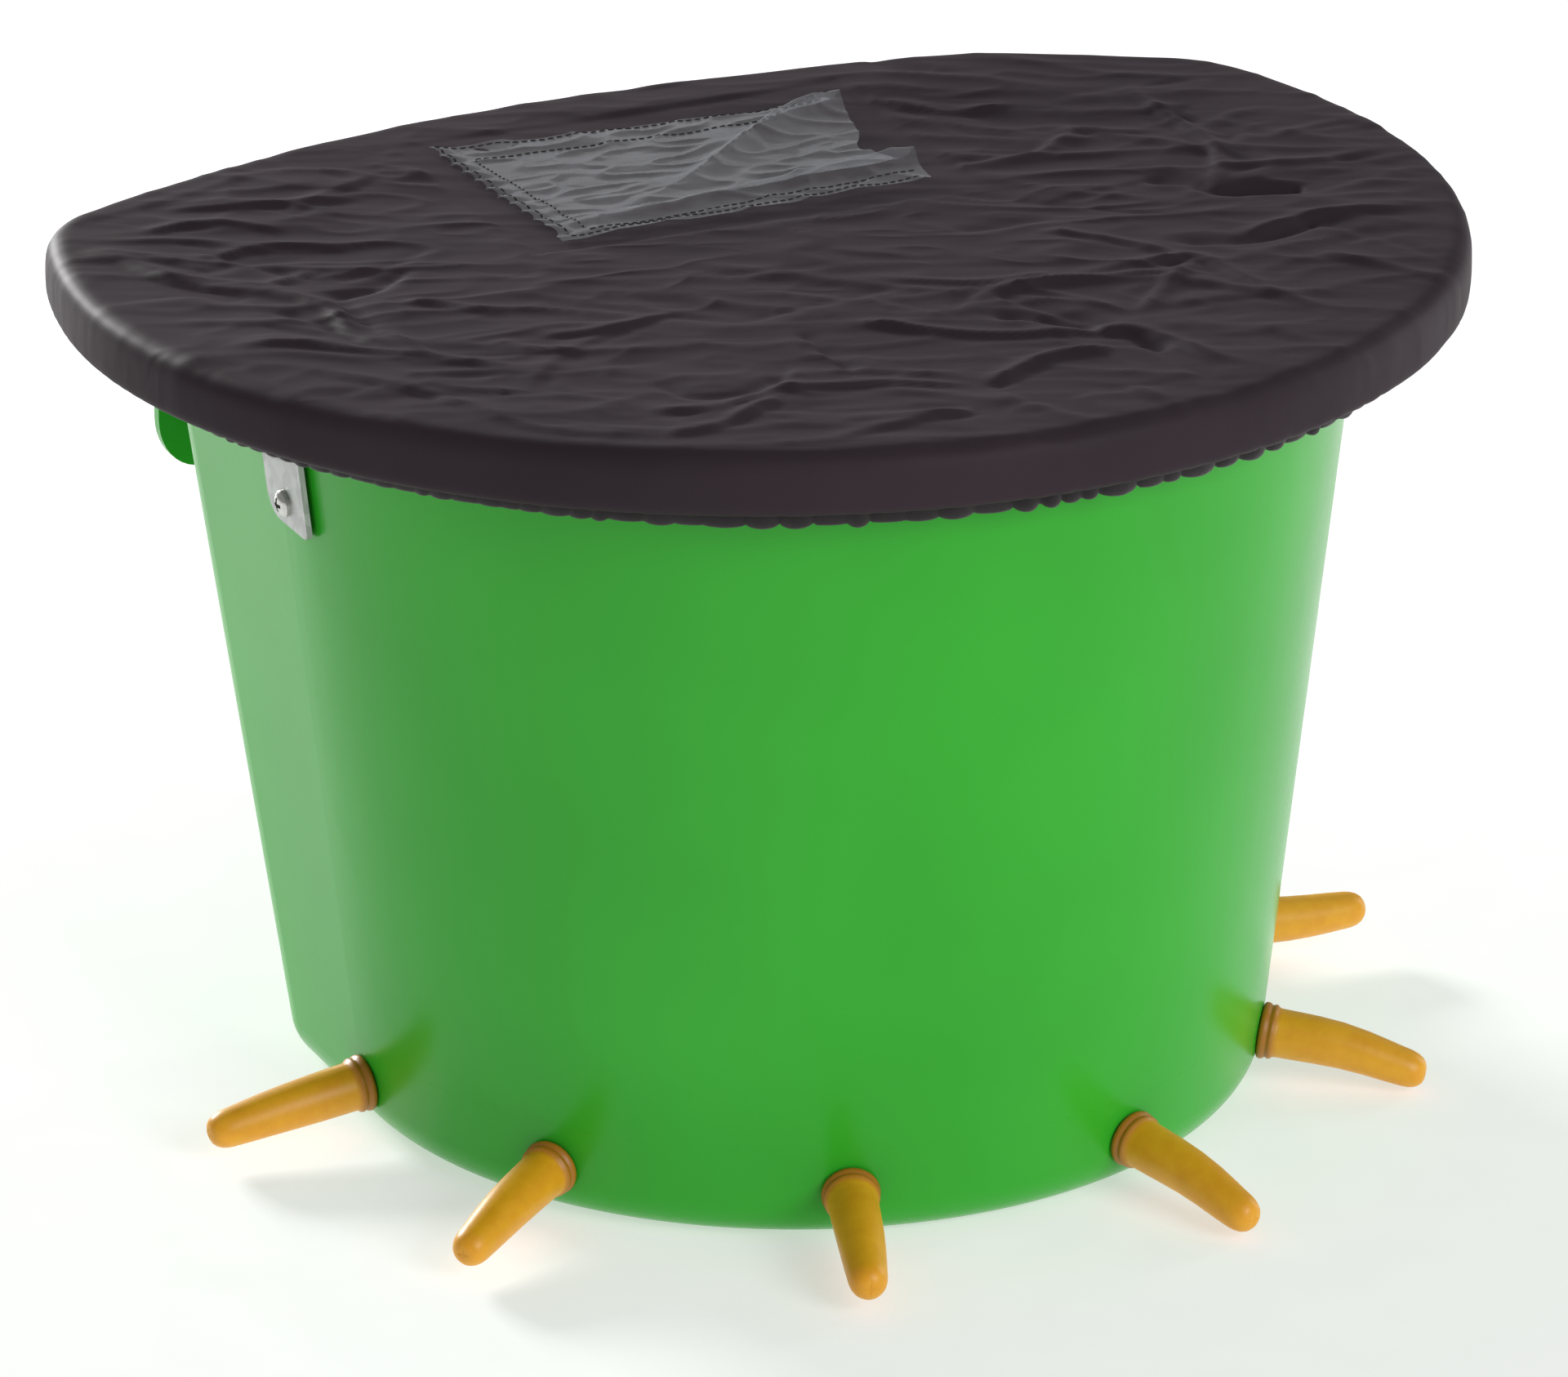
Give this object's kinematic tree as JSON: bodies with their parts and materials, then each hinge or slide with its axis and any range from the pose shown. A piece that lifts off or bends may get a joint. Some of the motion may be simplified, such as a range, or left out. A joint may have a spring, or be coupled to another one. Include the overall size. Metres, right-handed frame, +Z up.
{
  "type": "lamb teat bucket",
  "caption": "Flat-backed plastic feeding tub with a ring of latex teats near its base, a lip for hanging on a fence and an elasticated cloth cover with a clear pocket.",
  "frame": {"origin": "on the flat underside, on the axis of the ring of teats", "axes": "+Z up, -Y towards the round front with the teats, +Y towards the flat back with the hanging lip, +X to the right seen from the front"},
  "size_m": [0.4998, 0.4073, 0.3051],
  "materials": {
    "tub_plastic": "moulded polypropylene, glossy green",
    "latex": "amber natural latex, satin",
    "valve_plastic": "white moulded plastic",
    "ball_steel": "polished stainless steel",
    "galvanised_steel": "galvanised steel",
    "fastener_steel": "zinc-plated steel",
    "cover_fabric": "thin woven polyamide cloth, creased",
    "elastic": "flat braided elastic",
    "clear_film": "clear soft vinyl film"
  },
  "bodies": {
    "bucket": {"bucket_base": "tub_plastic", "bucket_shell": "tub_plastic", "bucket_rim": "tub_plastic", "teat_1": "latex", "valve_body_1": "valve_plastic", "teat_2": "latex", "valve_body_2": "valve_plastic", "teat_3": "latex", "valve_body_3": "valve_plastic", "teat_4": "latex", "valve_body_4": "valve_plastic", "teat_5": "latex", "valve_body_5": "valve_plastic", "teat_6": "latex", "valve_body_6": "valve_plastic", "side_bracket_left": "galvanised_steel", "bracket_screws_left": "fastener_steel", "bracket_washers_left": "fastener_steel", "bracket_nuts_left": "fastener_steel", "side_bracket_right": "galvanised_steel", "bracket_screws_right": "fastener_steel", "bracket_washers_right": "fastener_steel", "bracket_nuts_right": "fastener_steel"},
    "cover": {"cover_cloth": "cover_fabric", "cover_elastic": "elastic", "document_pocket": "clear_film"},
    "valve_ball_1": {"valve_ball_1": "ball_steel"},
    "valve_ball_2": {"valve_ball_2": "ball_steel"},
    "valve_ball_3": {"valve_ball_3": "ball_steel"},
    "valve_ball_4": {"valve_ball_4": "ball_steel"},
    "valve_ball_5": {"valve_ball_5": "ball_steel"},
    "valve_ball_6": {"valve_ball_6": "ball_steel"}
  },
  "joints": [
    {"name": "cover_lift", "type": "slide", "parent": "bucket", "child": "cover", "axis": [0, 0, 1], "range_m": [0, 0.12]},
    {"name": "valve_ball_1_travel", "type": "slide", "parent": "bucket", "child": "valve_ball_1", "axis": [-0.9922, -0.026, -0.1219], "range_m": [-0.0018, 0]},
    {"name": "valve_ball_2_travel", "type": "slide", "parent": "bucket", "child": "valve_ball_2", "axis": [-0.8111, -0.5721, -0.1219], "range_m": [-0.0018, 0]},
    {"name": "valve_ball_3_travel", "type": "slide", "parent": "bucket", "child": "valve_ball_3", "axis": [-0.3166, -0.9407, -0.1219], "range_m": [-0.0018, 0]},
    {"name": "valve_ball_4_travel", "type": "slide", "parent": "bucket", "child": "valve_ball_4", "axis": [0.3166, -0.9407, -0.1219], "range_m": [-0.0018, 0]},
    {"name": "valve_ball_5_travel", "type": "slide", "parent": "bucket", "child": "valve_ball_5", "axis": [0.8111, -0.5721, -0.1219], "range_m": [-0.0018, 0]},
    {"name": "valve_ball_6_travel", "type": "slide", "parent": "bucket", "child": "valve_ball_6", "axis": [0.9922, -0.026, -0.1219], "range_m": [-0.0018, 0]}
  ]
}
